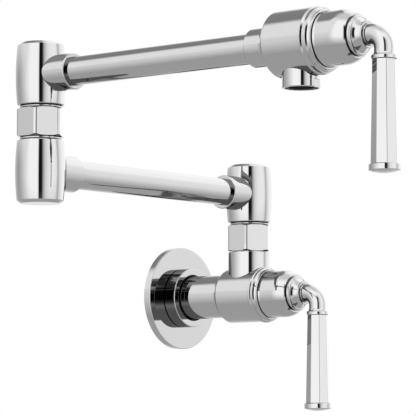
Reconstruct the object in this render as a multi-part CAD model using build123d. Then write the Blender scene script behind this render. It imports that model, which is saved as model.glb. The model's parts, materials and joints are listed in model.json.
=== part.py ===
"""Wall mounted pot filler: a double jointed arm with a valve at the wall and a valve at the spout.

Millimetres. The origin is the middle of the inlet thread's mouth, in the plane of the wall.
+Z is up, -Y points away from the wall, +X is to the right of someone who faces the wall.
The lower arm lies along -X and the upper arm along -Y, which is the pose at rest.
"""
from build123d import *
import os
from dataclasses import dataclass

# ------------------------------------------------------------------ driving sizes
# clearances
FIT = 0.1             # radial, where two fixed pieces screw or push together
RUN = 0.05            # radial, where one piece turns in another
SEAM = 0.25           # axial, at a seam between a turning piece and a fixed one
EDGE = 0.4            # small rounding of a polished edge
OVERCUT = 1.0         # how far a cutting tool runs past the face that it opens

# arms, pivot to pivot
LOWER_ARM = 254.3
UPPER_ARM = 254.2
TUBE_R = 11.0
TUBE_WALL = 1.6
TUBE_SEAT = 22.0      # from a pivot to the end of the tube in its socket
TUBE_SHY = 0.1        # how far a tube stops short of the step in its socket

# swivel barrel, measured from the arm's axis
BARREL_R = 19.75      # at the middle of the bulge
BARREL_END_R = 18.45
BARREL_NECK = 23.8    # to the end with the neck
BARREL_CAP = 22.7     # to the seam of the cap
BARREL_ROUND = 1.0    # rounding of the edge at the neck
CHAMBER_R = 13.0
CHAMBER_DEPTH = 12.0  # the chamber's reach from the arm's axis towards the neck
CAP_H = 2.3
CAP_CHAMFER = 3.1
CAP_PLUG = 6.0        # length of the cap's plug inside the barrel
SOCKET_R = 14.0
SOCKET_REACH = 35.7
SOCKET_LIP = 0.9
ARM_BORE_R = 9.2      # waterway through the sockets

# swivel joint, measured down from the top of the hexagon nut
NUT_R = 19.7          # to the hexagon's corners before they are rounded
NUT_ROUND = 3.4       # rounding of its upright corners
NUT_H = 21.8
NUT_END_R = 17.6      # where the corner chamfers meet the end faces
NUT_CHAMFER_H = 1.3   # height of the chamfers at the hexagon's sharp corners
NUT_TOP_WALL = 4.6
NUT_SEAM = 0.8        # the open line between the wall valve's branch and its nut
NECK_R = 16.4
NECK_H = 2.4          # above a nut
NECK_LOWER_H = 2.6    # below the elbow's nut
SPIGOT_R = 13.2
POST_R = 10.5
POST_BORE_R = 7.0
POST_ABOVE = 14.0     # post above the nut's top, screwed into the barrel
POST_BELOW = 23.6     # post below the nut's top
COLLAR_R = 12.6       # the post's collar, trapped under the nut's top wall
COLLAR_H = 2.5
WASHER_T = 0.8
SEAL_RING = 0.8       # half the thickness of a swivel seal
SEAL_GROOVE = 2.2     # width of its groove
SEAL_DROPS = (13.5, 19.0)    # from the nut's top to the middle of each seal

# wall flange
FLANGE_R = 43.6
FLANGE_T = 6.6
FLANGE_RIM = 0.6      # rounding of the front rims
HUB_R = 25.0
HUB_GROOVE = 0.8      # width and depth of the fine groove round the hub's foot
HUB_DEPTH = 18.2      # from the wall to the hub's front
HUB_SEAL_W = 1.35     # room for the ring seal between hub and shank
HUB_MOUTH_DEPTH = 5.0
GASKET_R = 40.5
GASKET_BAND = 7.0
GASKET_T = 1.5
FLANGE_SCREW_R = 2.0
FLANGE_SCREW_Y = 10.4

# inlet
SHANK_R = 18.25
SHANK_L = 55.0
SHANK_SPIGOT_R = 15.0
SHANK_SPIGOT_L = 9.6
SHANK_BORE_R = 9.0
INLET_R = 10.0        # half-inch female pipe thread, at its mean radius
INLET_L = 15.0
STRAINER_DEPTH = 15.6
STRAINER_T = 1.4
STRAINER_RIM = 1.3
STRAINER_HOLE_R = 0.7
STRAINER_PITCH = 2.3

# branch of the wall valve and outlet of the spout valve
BRANCH_R = 17.9
BRANCH_H = 36.2
BRANCH_BORE_R = 9.0
OUTLET_R = 13.9
OUTLET_DROP = 32.4
OUTLET_HOLE_R = 12.0
OUTLET_HOLE_H = 14.0
OUTLET_BORE_R = 8.5
AERATOR_RECESS = 0.4  # from the outlet's mouth to the straightener
AERATOR_H = 11.7
AERATOR_WALL = 1.4
AERATOR_GRID_T = 1.6
AERATOR_HOLE_R = 0.9
AERATOR_PITCH = 3.0
AERATOR_GASKET_T = 1.6

# valve bodies, measured along a valve's axis from the branch or outlet, away from the wall
WALL_BODY_REAR = -25.3       # where the shank ends and the casting starts
WALL_BODY_R = 22.8
WALL_SHOULDER = -18.2 # where the full width starts
WALL_RIM = 2.1        # rounding of the shoulder's rim
WALL_BEAD_R = 23.4    # bead of the trim ring
WALL_BEAD_END = 19.0  # where the slant from the bead down to the ring ends
WALL_RING_R = 22.7
SPOUT_BODY_R = 24.0
SPOUT_SHOULDER = -17.0
SPOUT_RIM = 2.5
SPOUT_BEAD_R = 24.5
SPOUT_BEAD_END = 18.25
SPOUT_RING_R = 23.4
SPOUT_SOCKET_START = -42.3
SPOUT_SOCKET_END = -28.9     # where the socket starts to widen into the shoulder
SPOUT_SOCKET_DEPTH = 15.3
SHOULDER_LAND = 0.1   # flat between the shoulder's hollow and its rim

# parts of a valve that both valves share, measured along its axis from the branch or outlet
BODY_FRONT = 16.2
FRONT_SPIGOT_R = 17.3
FRONT_SPIGOT_END = 29.0
VALVE_BORE_R = 8.6
SEAT_HOLE_R = 6.0
SEAT_FACE = -10.5
SEAT_WEB = 3.0
SLANT = 1.15          # length of a slanted step for each unit of its height
RING_END = 20.9       # front of the trim ring
RING_ROUND = 0.4
BONNET_BASE_IN = 0.5  # how far the bonnet's base lies inside the trim ring
BONNET_BASE_SLANT = 0.85     # height of the slant at its base
BONNET_STEP_IN = 1.8  # how far the step in front of the base lies inside the trim ring
BONNET_STEP_START = 23.0
BONNET_STEP_END = 24.3
BONNET_R = 19.5
BONNET_LAND = 1.2     # how much wider than the bonnet the step's flat front is
BONNET_GROOVE_W = 0.6        # the fine groove in front of the step
BONNET_GROOVE_DEPTH = 0.5
BONNET_FLARE = 0.4    # how much the bonnet widens towards the groove
BONNET_START = 26.4
BONNET_ROUND = 0.8    # rounding of the bonnet's blunt corners
DOME_START = 38.5
DOME_END = 49.8
DOME_FACE_R = 15.7
BONNET_CAVITY_R = 16.6
BONNET_CAVITY_END = 41.0
BONNET_THROAT_R = 12.0
BONNET_THROAT_END = 46.6

# ceramic disc cartridge
CARTRIDGE_FOOT_R = 10.4
CARTRIDGE_FOOT_END = 8.0
CARTRIDGE_FOOT_GAP = 0.3
CARTRIDGE_BORE_R = 8.5
CARTRIDGE_BORE_END = 4.6
CARTRIDGE_HEX_R = 15.0
CARTRIDGE_HEX_H = 4.0
CARTRIDGE_SLEEVE_R = 8.0
CARTRIDGE_SLEEVE_END = 46.0
CARTRIDGE_PORT_W = 10.0
SEAT_SEAL_R = 8.2
SEAT_SEAL_HOLE_R = 5.4
SEAT_SEAL_T = 2.5
DISC_R = 8.3
DISC_T = 3.0
DISC_PORT_R = 2.1
DISC_PORT_AT = 4.4
DISC_GAP = 0.05
STEM_R = 4.0
STEM_FOOT_R = 6.5
STEM_FOOT_H = 5.0
STEM_END = 57.0
STEM_SEAL = 0.75      # half the thickness of the stem's seal
STEM_SEAL_AT = 14.0
STEM_GROOVE = 2.0

# lever, measured along the valve's axis, then down from it
LEVER_AXIS = 72.3
HUB_RING_R = 14.4
HUB_RING_END = 52.9
HUB_RING_ROUND = 1.6
HUB_NECK_START_R = 12.6
HUB_NECK_TAPER = 16.0 # degrees, where the hollow neck meets the bead
HUB_NECK_END_R = 9.3
HUB_NECK_END = 58.2
HUB_BEAD_R = 9.7
HUB_BEAD_END = 59.4
HUB_FOOT_R = 8.0
HUB_FOOT_END = 60.6
LEVER_TUBE_R = 7.1
LEVER_BEND = 10.7     # of the neck's middle line
LEVER_FLARE_TOP = 13.4
LEVER_FLARE_R = 8.0
LEVER_STUD_R = 5.0
LEVER_STUD_L = 14.0
HUB_BORE_END = 57.3
HUB_SCREW_R = 1.0
HUB_SCREW_AT = 51.45
HUB_SCREW_SUNK = 1.2
COLLAR_TOP = 15.5
COLLAR_BOTTOM = 18.6
LEVER_COLLAR_R = 9.1
LEVER_COLLAR_ROUND = 1.0
GRIP_TOP_R = 8.55     # to the octagon's corners
GRIP_BOTTOM_R = 10.1
GRIP_BOTTOM = 91.1
GRIP_SIDES = 8
END_CAP_R = 11.35
END_CAP_H = 4.8
END_CAP_EDGE = 0.9
END_CAP_DOME = 1.6
END_CAP_PLUG_R = 5.0
END_CAP_PLUG_L = 12.0

# ------------------------------------------------------------------ places worked out from them
NUT_TOP = BRANCH_H + NUT_SEAM + NUT_H
LOWER_Z = NUT_TOP + NECK_H + BARREL_NECK
ELBOW_NUT_TOP = LOWER_Z + BARREL_NECK + NECK_LOWER_H + NUT_H
UPPER_Z = ELBOW_NUT_TOP + NECK_H + BARREL_NECK
ELBOW_X = -LOWER_ARM
PIVOT_Y = WALL_BODY_REAR - SHANK_L
HUB_MOUTH_R = SHANK_R + HUB_SEAL_W
SPOUT_Y = PIVOT_Y - UPPER_ARM

WASHER_TOP = NUT_TOP_WALL + FIT
COLLAR_TOP_DROP = WASHER_TOP + WASHER_T + FIT
SPIGOT_DROP = COLLAR_TOP_DROP + COLLAR_H + SEAM
POST_HOLE_R = POST_R + RUN
SEAL_MIDDLE_R = POST_R - SEAL_RING
FLOOR_DROP = POST_BELOW + 2 * SEAL_RING


@dataclass
class Valve:
    """The place of a valve and the sizes in which the two valves differ."""
    x: float
    y: float
    z: float
    body_r: float
    bead_r: float
    bead_end: float
    ring_r: float
    rear_r: float          # where the casting starts, at the shank or the tube
    rear_start: float
    cove_start: float
    shoulder: float        # where the full body starts
    rim: float
    rear_bore_r: float
    rear_bore_end: float


WALL = Valve(
    x=0.0, y=PIVOT_Y, z=0.0,
    body_r=WALL_BODY_R, bead_r=WALL_BEAD_R, bead_end=WALL_BEAD_END, ring_r=WALL_RING_R,
    rear_r=SHANK_R, rear_start=WALL_BODY_REAR, cove_start=WALL_BODY_REAR,
    shoulder=WALL_SHOULDER, rim=WALL_RIM,
    rear_bore_r=SHANK_SPIGOT_R + FIT, rear_bore_end=WALL_BODY_REAR + SHANK_SPIGOT_L + FIT)

SPOUT = Valve(
    x=ELBOW_X, y=SPOUT_Y, z=UPPER_Z,
    body_r=SPOUT_BODY_R, bead_r=SPOUT_BEAD_R, bead_end=SPOUT_BEAD_END, ring_r=SPOUT_RING_R,
    rear_r=SOCKET_R, rear_start=SPOUT_SOCKET_START, cove_start=SPOUT_SOCKET_END,
    shoulder=SPOUT_SHOULDER, rim=SPOUT_RIM,
    rear_bore_r=TUBE_R + FIT, rear_bore_end=SPOUT_SOCKET_START + SPOUT_SOCKET_DEPTH)


# ------------------------------------------------------------------ helpers
def turned(*corners):
    """A solid turned about Z from its half outline: corners (r, z) or (r, z, rounding)."""
    points = [(corner[0], corner[1]) for corner in corners]
    rounding = [corner[2] if len(corner) > 2 else 0.0 for corner in corners]
    outline = FilletPolyline(*points, radius=rounding, close=True)
    return revolve(Plane.XZ * make_face(outline.edges()), Axis.Z)


def drawn(edges):
    """A solid turned about Z from a closed chain of edges in the (r, z) plane."""
    return revolve(Plane.XZ * make_face(edges), Axis.Z)


def oval(middle, across, along, start):
    """A quarter of an ellipse in the (r, z) plane, from a start angle in degrees."""
    return EllipticalCenterArc(middle, across, along, start, arc_size=90)


def bowed(first, last):
    """A round arc in the (r, z) plane that starts along the axis."""
    return TangentArc(first, last, tangent=(0, 1))


def hollowed(first, last, taper=0.0):
    """A round hollow arc in the (r, z) plane that ends along the axis, or at a taper in degrees."""
    back = Vector(0, -1).rotate(Axis.Z, taper)
    return TangentArc(last, first, tangent=back)


def dished(rim, pole):
    """A shallow arc in the (r, z) plane from a rim up to the pole on the axis, round about the axis."""
    reach, rise = rim[0], rim[1] - pole[1]
    radius = (reach ** 2 + rise ** 2) / (2 * rise)
    half = (reach / 2, pole[1] + radius - (radius ** 2 - (reach / 2) ** 2) ** 0.5)
    return ThreePointArc(rim, half, pole)


def rod(radius, low, high):
    """A cylinder about Z from low to high."""
    return Pos(0, 0, low) * Cylinder(radius, high - low, align=(Align.CENTER, Align.CENTER, Align.MIN))


def seal_ring(radius, thickness, height):
    """An O-ring about Z: the radius of its middle line, half its thickness and its height."""
    return Pos(0, 0, height) * Torus(radius, thickness)


def out_of_wall(shape, valve):
    """Sets a piece that was built about Z on a valve's axis, Z pointing away from the wall."""
    return Pos(valve.x, valve.y, valve.z) * Rot(90, 0, 0) * shape


def hung(shape, valve):
    """Sets a piece that was built upright about Z on the axis of a valve's grip."""
    return Pos(valve.x, valve.y - LEVER_AXIS, valve.z) * shape


def hole_grid(radius, pitch, reach, low, high):
    """Round holes along Z on a square grid, as far out as reach."""
    count = int(reach // pitch)
    places = [(i * pitch, j * pitch) for i in range(-count, count + 1) for j in range(-count, count + 1)]
    inside = [place for place in places if (place[0] ** 2 + place[1] ** 2) ** 0.5 + radius <= reach]
    holes = Sketch() + [Pos(*place) * Circle(radius) for place in inside]
    return Pos(0, 0, low) * extrude(holes, high - low)


PIECES = {}


def keep(name, shape):
    """Names a finished piece."""
    shape.label = name
    PIECES[name] = shape


# ------------------------------------------------------------------ wall flange and inlet
def wall_flange():
    """Round cover plate with a hub that slides on the shank, in one piece."""
    plate = turned(
        (SHANK_R + FIT, 0), (FLANGE_R, 0), (FLANGE_R, FLANGE_T, FLANGE_RIM),
        (HUB_R - HUB_GROOVE, FLANGE_T), (HUB_R - HUB_GROOVE, FLANGE_T + HUB_GROOVE),
        (HUB_R, FLANGE_T + HUB_GROOVE), (HUB_R, HUB_DEPTH, FLANGE_RIM), (HUB_MOUTH_R, HUB_DEPTH, EDGE),
        (HUB_MOUTH_R, HUB_DEPTH - HUB_MOUTH_DEPTH), (SHANK_R + FIT, HUB_DEPTH - HUB_MOUTH_DEPTH))
    recess = rod(GASKET_R + FIT, -OVERCUT, GASKET_T) - rod(GASKET_R - GASKET_BAND - FIT, -OVERCUT, GASKET_T)
    screw_hole = Pos(0, 0, FLANGE_SCREW_Y) * Rot(90, 0, 0) * rod(FLANGE_SCREW_R + FIT, 0, HUB_R + OVERCUT)
    return Rot(90, 0, 0) * (plate - recess - screw_hole)


def flange_set_screw():
    """Grub screw with a hexagon socket, under the hub, that grips the shank."""
    length = HUB_R - SHANK_R - 2 * EDGE
    screw = rod(FLANGE_SCREW_R, 0, length)
    socket = Pos(0, 0, length / 2) * extrude(RegularPolygon(FLANGE_SCREW_R / 2, 6), length)
    return Pos(0, -FLANGE_SCREW_Y, -SHANK_R - FIT / 2) * Rot(180, 0, 0) * (screw - socket)


def build_wall_side():
    """The cover plate, its trim and the shank that the water pipe screws into."""
    keep("wall_flange", wall_flange())
    gasket = rod(GASKET_R, 0, GASKET_T) - rod(GASKET_R - GASKET_BAND, -OVERCUT, GASKET_T + OVERCUT)
    keep("wall_flange_gasket", Rot(90, 0, 0) * gasket)
    keep("wall_flange_screw", flange_set_screw())
    ring_half = HUB_SEAL_W / 2
    mouth_ring = seal_ring(SHANK_R + ring_half, ring_half - RUN, HUB_DEPTH - HUB_MOUTH_DEPTH / 2)
    keep("wall_flange_seal", Rot(90, 0, 0) * mouth_ring)

    spigot_end = SHANK_L + SHANK_SPIGOT_L
    shank = turned(
        (INLET_R, 0), (SHANK_R, 0, EDGE), (SHANK_R, SHANK_L), (SHANK_SPIGOT_R, SHANK_L),
        (SHANK_SPIGOT_R, spigot_end, EDGE), (SHANK_BORE_R, spigot_end), (SHANK_BORE_R, INLET_L),
        (INLET_R, INLET_L))
    keep("inlet_shank", Rot(90, 0, 0) * shank)
    strainer_r = SHANK_BORE_R - RUN
    strainer = rod(strainer_r, STRAINER_DEPTH, STRAINER_DEPTH + STRAINER_T)
    strainer -= rod(strainer_r - STRAINER_RIM, STRAINER_DEPTH - OVERCUT, STRAINER_DEPTH + STRAINER_T / 2)
    strainer -= hole_grid(STRAINER_HOLE_R, STRAINER_PITCH, strainer_r - STRAINER_RIM,
                          STRAINER_DEPTH, STRAINER_DEPTH + STRAINER_T)
    keep("inlet_strainer", Rot(90, 0, 0) * strainer)


# ------------------------------------------------------------------ valve castings
def valve_casting(valve):
    """The body of a valve about Z, with its cove, shoulder, front spigot and water passages."""
    plane = valve.shoulder - valve.rim
    corner_r = valve.body_r - valve.rim
    cove_r = corner_r - SHOULDER_LAND
    edges = [Line((0, valve.rear_start), (valve.rear_r, valve.rear_start))]
    if valve.cove_start > valve.rear_start:
        edges.append(Line((valve.rear_r, valve.rear_start), (valve.rear_r, valve.cove_start)))
    edges += [
        oval((cove_r, valve.cove_start), cove_r - valve.rear_r, plane - valve.cove_start, 90),
        Line((cove_r, plane), (corner_r, plane)),
        CenterArc((corner_r, valve.shoulder), valve.rim, -90, 90),
        Line((valve.body_r, valve.shoulder), (valve.body_r, BODY_FRONT)),
        Line((valve.body_r, BODY_FRONT), (FRONT_SPIGOT_R, BODY_FRONT)),
        Line((FRONT_SPIGOT_R, BODY_FRONT), (FRONT_SPIGOT_R, FRONT_SPIGOT_END)),
        Line((FRONT_SPIGOT_R, FRONT_SPIGOT_END), (0, FRONT_SPIGOT_END)),
        Line((0, FRONT_SPIGOT_END), (0, valve.rear_start)),
    ]
    return drawn(edges)


def valve_passages(valve):
    """What is bored out of a valve's body along its axis."""
    return (rod(valve.rear_bore_r, valve.rear_start - OVERCUT, valve.rear_bore_end)
            + rod(VALVE_BORE_R, valve.rear_bore_end - OVERCUT, SEAT_FACE - SEAT_WEB)
            + rod(SEAT_HOLE_R, SEAT_FACE - SEAT_WEB - OVERCUT, SEAT_FACE + OVERCUT)
            + rod(CHAMBER_R, SEAT_FACE, FRONT_SPIGOT_END + OVERCUT))


def upward(shape):
    """Turns a piece built about Z so that it points up once its valve faces out of the wall."""
    return Rot(-90, 0, 0) * shape


def wall_valve_body():
    """Valve body with the branch that carries the wall swivel."""
    body = valve_casting(WALL) + upward(rod(BRANCH_R, 0, BRANCH_H))
    body += upward(rod(SPIGOT_R, BRANCH_H - OVERCUT, NUT_TOP - SPIGOT_DROP))
    body -= rod(WALL_BEAD_R + FIT, BODY_FRONT, RING_END) - rod(FRONT_SPIGOT_R, BODY_FRONT, RING_END)
    body -= valve_passages(WALL)
    body -= upward(rod(BRANCH_BORE_R, CHAMBER_R / 2, NUT_TOP))
    body -= upward(rod(POST_HOLE_R, NUT_TOP - FLOOR_DROP, NUT_TOP))
    return out_of_wall(body, WALL)


def spout_valve_body():
    """Valve body with the socket for the upper arm and the outlet that points down."""
    outlet = Rot(180, 0, 0) * rod(OUTLET_R, 0, OUTLET_DROP)
    outlet = fillet(outlet.edges().sort_by(Axis.Z)[0], EDGE)
    body = valve_casting(SPOUT) + upward(outlet)
    rear = body.edges().filter_by(GeomType.CIRCLE).sort_by(Axis.Z)[0]
    body = fillet(rear, SOCKET_LIP)
    body -= valve_passages(SPOUT)
    body -= upward(rod(OUTLET_HOLE_R, -OUTLET_DROP - OVERCUT, -OUTLET_DROP + OUTLET_HOLE_H))
    body -= upward(rod(OUTLET_BORE_R, -OUTLET_DROP, -CHAMBER_R / 2))
    return out_of_wall(body, SPOUT)


def build_valve_trim(valve, name):
    """The trim ring and the domed bonnet that screw on the front of a valve."""
    inner_r = FRONT_SPIGOT_R + FIT
    bead_front = valve.bead_end - SLANT * (valve.bead_r - valve.ring_r)
    ring = turned(
        (inner_r, BODY_FRONT), (valve.bead_r, BODY_FRONT, RING_ROUND),
        (valve.bead_r, bead_front, RING_ROUND), (valve.ring_r, valve.bead_end, RING_ROUND),
        (valve.ring_r, RING_END, RING_ROUND), (inner_r, RING_END))
    keep(name + "_trim_ring", out_of_wall(ring, valve))

    base_r = valve.ring_r - BONNET_BASE_IN
    step_r = valve.ring_r - BONNET_STEP_IN
    land_r = BONNET_R + BONNET_LAND
    groove_r = BONNET_R - BONNET_GROOVE_DEPTH
    groove_end = BONNET_STEP_END + BONNET_GROOVE_W
    thread_end = FRONT_SPIGOT_END + FIT
    edges = [
        Line((inner_r, RING_END), (base_r, RING_END)),
        FilletPolyline(
            (base_r, RING_END), (base_r - BONNET_BASE_SLANT, RING_END + SLANT * BONNET_BASE_SLANT),
            (step_r, BONNET_STEP_START), (step_r, BONNET_STEP_END), (groove_r, BONNET_STEP_END),
            (groove_r, groove_end), (BONNET_R + BONNET_FLARE, groove_end), (BONNET_R, BONNET_START),
            (BONNET_R, DOME_START),
            radius=[BONNET_ROUND, BONNET_ROUND, step_r - land_r + RUN, 0.0, 0.0, 0.0, BONNET_ROUND]),
        bowed((BONNET_R, DOME_START), (DOME_FACE_R, DOME_END)),
        Polyline((DOME_FACE_R, DOME_END), (CARTRIDGE_SLEEVE_R + FIT, DOME_END),
                 (CARTRIDGE_SLEEVE_R + FIT, BONNET_THROAT_END), (BONNET_THROAT_R, BONNET_THROAT_END),
                 (BONNET_CAVITY_R, BONNET_CAVITY_END), (BONNET_CAVITY_R, thread_end),
                 (inner_r, thread_end), (inner_r, RING_END)),
    ]
    keep(name + "_bonnet", out_of_wall(drawn(edges), valve))


# ------------------------------------------------------------------ ceramic disc cartridge
def disc(low, thickness, along_x):
    """A ceramic disc with its two ports, side by side or one above the other."""
    plate = rod(DISC_R, low, low + thickness)
    for side in (-1, 1):
        place = (side * DISC_PORT_AT, 0) if along_x else (0, side * DISC_PORT_AT)
        plate -= Pos(*place) * rod(DISC_PORT_R, low - OVERCUT, low + thickness + OVERCUT)
    return plate


def build_cartridge(valve, name):
    """Housing, seat seal and fixed disc stay with the valve; disc, stem and seal turn."""
    foot_start = SEAT_FACE + CARTRIDGE_FOOT_GAP
    thread_r = CHAMBER_R - FIT
    hex_top = FRONT_SPIGOT_END + CARTRIDGE_HEX_H
    stem_hole_r = STEM_R + RUN
    housing = turned(
        (CARTRIDGE_BORE_R, foot_start), (CARTRIDGE_FOOT_R, foot_start, EDGE),
        (CARTRIDGE_FOOT_R, CARTRIDGE_FOOT_END), (thread_r, CARTRIDGE_FOOT_END, EDGE),
        (thread_r, FRONT_SPIGOT_END), (CARTRIDGE_SLEEVE_R, FRONT_SPIGOT_END),
        (CARTRIDGE_SLEEVE_R, CARTRIDGE_SLEEVE_END, EDGE), (stem_hole_r, CARTRIDGE_SLEEVE_END),
        (stem_hole_r, CARTRIDGE_BORE_END), (CARTRIDGE_BORE_R, CARTRIDGE_BORE_END))
    head = Pos(0, 0, FRONT_SPIGOT_END) * extrude(RegularPolygon(CARTRIDGE_HEX_R, 6), CARTRIDGE_HEX_H)
    housing += head - rod(CARTRIDGE_SLEEVE_R - EDGE, FRONT_SPIGOT_END - OVERCUT, hex_top + OVERCUT)
    fixed_low = SEAT_FACE + SEAT_SEAL_T
    moving_low = fixed_low + DISC_T + DISC_GAP
    foot_low = moving_low + DISC_T
    port_middle = (foot_low + CARTRIDGE_BORE_END) / 2
    port = Box(CARTRIDGE_PORT_W, 3 * CARTRIDGE_FOOT_R, CARTRIDGE_BORE_END - foot_low)
    housing -= Pos(0, 0, port_middle) * port
    keep(name + "_cartridge_housing", out_of_wall(housing, valve))

    seal = rod(SEAT_SEAL_R, SEAT_FACE, fixed_low) - rod(SEAT_SEAL_HOLE_R, SEAT_FACE - OVERCUT, moving_low)
    keep(name + "_seat_seal", out_of_wall(seal, valve))
    keep(name + "_fixed_disc", out_of_wall(disc(fixed_low, DISC_T, True), valve))
    keep(name + "_moving_disc", out_of_wall(disc(moving_low, DISC_T, False), valve))

    groove_r = STEM_R - 2 * STEM_SEAL - RUN
    groove_low = STEM_SEAL_AT - STEM_GROOVE / 2
    stem = turned(
        (0, foot_low), (STEM_FOOT_R, foot_low, EDGE), (STEM_FOOT_R, foot_low + STEM_FOOT_H, EDGE),
        (STEM_R, foot_low + STEM_FOOT_H), (STEM_R, groove_low), (groove_r, groove_low),
        (groove_r, groove_low + STEM_GROOVE), (STEM_R, groove_low + STEM_GROOVE),
        (STEM_R, STEM_END, EDGE), (0, STEM_END))
    keep(name + "_valve_stem", out_of_wall(stem, valve))
    keep(name + "_stem_seal", out_of_wall(seal_ring(STEM_R - STEM_SEAL, STEM_SEAL, STEM_SEAL_AT), valve))


# ------------------------------------------------------------------ lever
def lever_neck():
    """Hub, round neck bent down through a quarter turn, flare and stud, in one casting about Z."""
    back = DOME_END + SEAM
    hub_edges = [
        Polyline((0, HUB_FOOT_END), (0, back), (HUB_RING_R - EDGE, back), (HUB_RING_R, back + EDGE),
                 (HUB_RING_R, HUB_RING_END - HUB_RING_ROUND)),
        CenterArc((HUB_RING_R - HUB_RING_ROUND, HUB_RING_END - HUB_RING_ROUND), HUB_RING_ROUND, 0, 90),
        Line((HUB_RING_R - HUB_RING_ROUND, HUB_RING_END), (HUB_NECK_START_R, HUB_RING_END)),
        hollowed((HUB_NECK_START_R, HUB_RING_END), (HUB_NECK_END_R, HUB_NECK_END), HUB_NECK_TAPER),
        Polyline((HUB_NECK_END_R, HUB_NECK_END), (HUB_BEAD_R, HUB_NECK_END),
                 (HUB_BEAD_R, HUB_BEAD_END - EDGE),
                 (HUB_BEAD_R - EDGE, HUB_BEAD_END), (HUB_FOOT_R, HUB_BEAD_END),
                 (HUB_FOOT_R, HUB_FOOT_END - EDGE), (HUB_FOOT_R - EDGE, HUB_FOOT_END), (0, HUB_FOOT_END)),
    ]
    hub = drawn(hub_edges)
    route = FilletPolyline((0, 0, HUB_FOOT_END - EDGE), (0, 0, LEVER_AXIS), (0, -COLLAR_TOP, LEVER_AXIS),
                           radius=[LEVER_BEND])
    neck = sweep(Pos(0, 0, HUB_FOOT_END - EDGE) * Circle(LEVER_TUBE_R), path=route)
    flare = turned(
        (0, -COLLAR_TOP), (LEVER_FLARE_R, -COLLAR_TOP), (LEVER_TUBE_R, -LEVER_FLARE_TOP),
        (0, -LEVER_FLARE_TOP))
    stud = rod(LEVER_STUD_R, -COLLAR_TOP - LEVER_STUD_L, -LEVER_FLARE_TOP)
    casting = hub + neck + Pos(0, 0, LEVER_AXIS) * upward(flare + stud)
    casting -= rod(STEM_R + FIT, back - OVERCUT, HUB_BORE_END)
    casting -= Pos(0, 0, HUB_SCREW_AT) * Rot(0, 90, 0) * rod(HUB_SCREW_R + FIT, 0, HUB_RING_R + OVERCUT)
    return casting


def build_lever(valve, name):
    """Neck, grub screw, collar, eight-sided grip and end cap."""
    keep(name + "_neck", out_of_wall(lever_neck(), valve))

    screw_length = HUB_RING_R - HUB_SCREW_SUNK - STEM_R
    screw = rod(HUB_SCREW_R, 0, screw_length)
    screw -= Pos(0, 0, screw_length / 2) * extrude(RegularPolygon(HUB_SCREW_R / 2, 6), screw_length)
    place = Pos(STEM_R + RUN, 0, HUB_SCREW_AT) * Rot(0, 90, 0)
    keep(name + "_screw", out_of_wall(place * screw, valve))

    collar = turned(
        (LEVER_STUD_R + FIT, -COLLAR_BOTTOM), (LEVER_COLLAR_R, -COLLAR_BOTTOM, EDGE),
        (LEVER_COLLAR_R, -COLLAR_TOP, LEVER_COLLAR_ROUND), (LEVER_STUD_R + FIT, -COLLAR_TOP))
    keep(name + "_collar", hung(collar, valve))

    stud_end = COLLAR_TOP + LEVER_STUD_L
    top = Pos(0, 0, -COLLAR_BOTTOM) * RegularPolygon(GRIP_TOP_R, GRIP_SIDES)
    bottom = Pos(0, 0, -GRIP_BOTTOM) * RegularPolygon(GRIP_BOTTOM_R, GRIP_SIDES)
    grip = loft([bottom, top])
    grip -= rod(LEVER_STUD_R + FIT, -stud_end - FIT, 0)
    grip -= rod(END_CAP_PLUG_R + FIT, -GRIP_BOTTOM - OVERCUT, -GRIP_BOTTOM + END_CAP_PLUG_L + FIT)
    keep(name + "_grip", hung(grip, valve))

    cap_low = -GRIP_BOTTOM - END_CAP_H
    face_r = END_CAP_R - END_CAP_EDGE
    cap_edges = [
        Polyline((0, -GRIP_BOTTOM), (END_CAP_R - EDGE, -GRIP_BOTTOM), (END_CAP_R, -GRIP_BOTTOM - EDGE),
                 (END_CAP_R, cap_low + END_CAP_EDGE)),
        CenterArc((face_r, cap_low + END_CAP_EDGE), END_CAP_EDGE, 0, -90),
        dished((face_r, cap_low), (0, cap_low - END_CAP_DOME)),
        Line((0, cap_low - END_CAP_DOME), (0, -GRIP_BOTTOM)),
    ]
    cap = drawn(cap_edges) + rod(END_CAP_PLUG_R, -GRIP_BOTTOM - EDGE, -GRIP_BOTTOM + END_CAP_PLUG_L)
    keep(name + "_end_cap", hung(cap, valve))


# ------------------------------------------------------------------ swivel joints
def barrel_shell():
    """The bulged barrel about Z, solid, with its neck down and the arm's axis at zero."""
    edges = [
        Polyline((0, BARREL_CAP), (0, -BARREL_NECK), (BARREL_END_R - BARREL_ROUND, -BARREL_NECK)),
        CenterArc((BARREL_END_R - BARREL_ROUND, BARREL_ROUND - BARREL_NECK), BARREL_ROUND, -90, 90),
        ThreePointArc((BARREL_END_R, BARREL_ROUND - BARREL_NECK), (BARREL_R, 0), (BARREL_END_R, BARREL_CAP)),
        Line((BARREL_END_R, BARREL_CAP), (0, BARREL_CAP)),
    ]
    return drawn(edges)


def barrel(neck, bore_r, spigot):
    """A barrel with its socket along +X. The neck's length, its bore, and a spigot's length or 0."""
    rounding = neck / 2 - RUN
    ring = turned((0, -BARREL_NECK - neck), (NECK_R, -BARREL_NECK - neck, rounding),
                  (NECK_R, -BARREL_NECK, rounding), (0, -BARREL_NECK))
    body = barrel_shell() + ring
    socket = Rot(0, 90, 0) * rod(SOCKET_R, 0, SOCKET_REACH)
    body += fillet(socket.edges().sort_by(Axis.X)[-1], SOCKET_LIP)
    low = -BARREL_NECK - neck
    if spigot:
        body += rod(SPIGOT_R, low - spigot, low + OVERCUT)
        low -= spigot
    body -= rod(bore_r, low - OVERCUT, 0)
    body -= rod(CHAMBER_R, -CHAMBER_DEPTH, BARREL_CAP + OVERCUT)
    body -= Rot(0, 90, 0) * rod(ARM_BORE_R, 0, TUBE_SEAT + OVERCUT)
    body -= Rot(0, 90, 0) * rod(TUBE_R + FIT, TUBE_SEAT, SOCKET_REACH + OVERCUT)
    return body


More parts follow.
